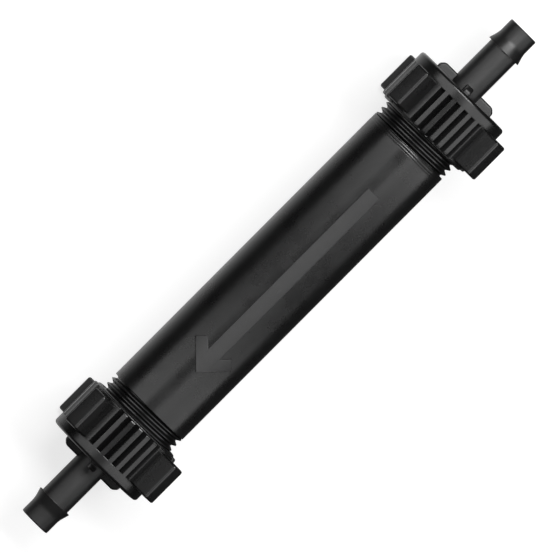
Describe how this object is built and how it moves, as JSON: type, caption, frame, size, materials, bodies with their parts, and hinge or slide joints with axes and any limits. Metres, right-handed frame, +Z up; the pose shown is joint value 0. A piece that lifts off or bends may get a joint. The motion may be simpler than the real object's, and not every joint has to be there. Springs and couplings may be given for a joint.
{
  "type": "inline irrigation filter",
  "caption": "Tubular inline water filter with a union nut and a barbed hose tail at each end, and a screen cartridge inside.",
  "frame": {"origin": "on the tube's axis, midway between the two barb tips", "axes": "+X along the axis towards the inlet, +Z up through the flow arrow"},
  "size_m": [0.248, 0.044, 0.0466],
  "materials": {
    "tube_plastic": "satin",
    "nut_plastic": "satin",
    "tail_plastic": "satin",
    "cage_plastic": "satin",
    "mesh_cloth": "woven",
    "seal_rubber": "matt"
  },
  "bodies": {
    "housing": {"housing": "tube_plastic", "screen_core": "cage_plastic", "screen_mesh": "mesh_cloth", "screen_collar": "cage_plastic", "screen_o_ring": "seal_rubber", "screen_cap": "cage_plastic"},
    "inlet_seal": {"inlet_gasket": "seal_rubber"},
    "inlet_tail": {"inlet_tail": "tail_plastic"},
    "inlet_nut": {"inlet_nut": "nut_plastic"},
    "outlet_seal": {"outlet_gasket": "seal_rubber"},
    "outlet_tail": {"outlet_tail": "tail_plastic"},
    "outlet_nut": {"outlet_nut": "nut_plastic"}
  },
  "joints": [
    {"name": "inlet_draw", "type": "slide", "parent": "housing", "child": "inlet_seal", "axis": [1, 0, 0], "range_m": [0, 0.0126]},
    {"name": "inlet_nut_turn", "type": "hinge", "parent": "inlet_seal", "child": "inlet_nut", "pos_m": [0.0881, 0, 0], "axis": [1, 0, 0], "range_deg": [0, 1800]},
    {"name": "inlet_tail_swivel", "type": "hinge", "parent": "inlet_seal", "child": "inlet_tail", "pos_m": [0.0881, 0, 0], "axis": [1, 0, 0], "continuous": true},
    {"name": "outlet_draw", "type": "slide", "parent": "housing", "child": "outlet_seal", "axis": [-1, 0, 0], "range_m": [0, 0.0126]},
    {"name": "outlet_nut_turn", "type": "hinge", "parent": "outlet_seal", "child": "outlet_nut", "pos_m": [-0.0881, 0, 0], "axis": [-1, 0, 0], "range_deg": [0, 1800]},
    {"name": "outlet_tail_swivel", "type": "hinge", "parent": "outlet_seal", "child": "outlet_tail", "pos_m": [-0.0881, 0, 0], "axis": [-1, 0, 0], "continuous": true}
  ],
  "couplings": [
    {"joint": "inlet_draw", "follows": "inlet_nut_turn", "m_per_rad": 0.00039789},
    {"joint": "outlet_draw", "follows": "outlet_nut_turn", "m_per_rad": 0.00039789}
  ]
}
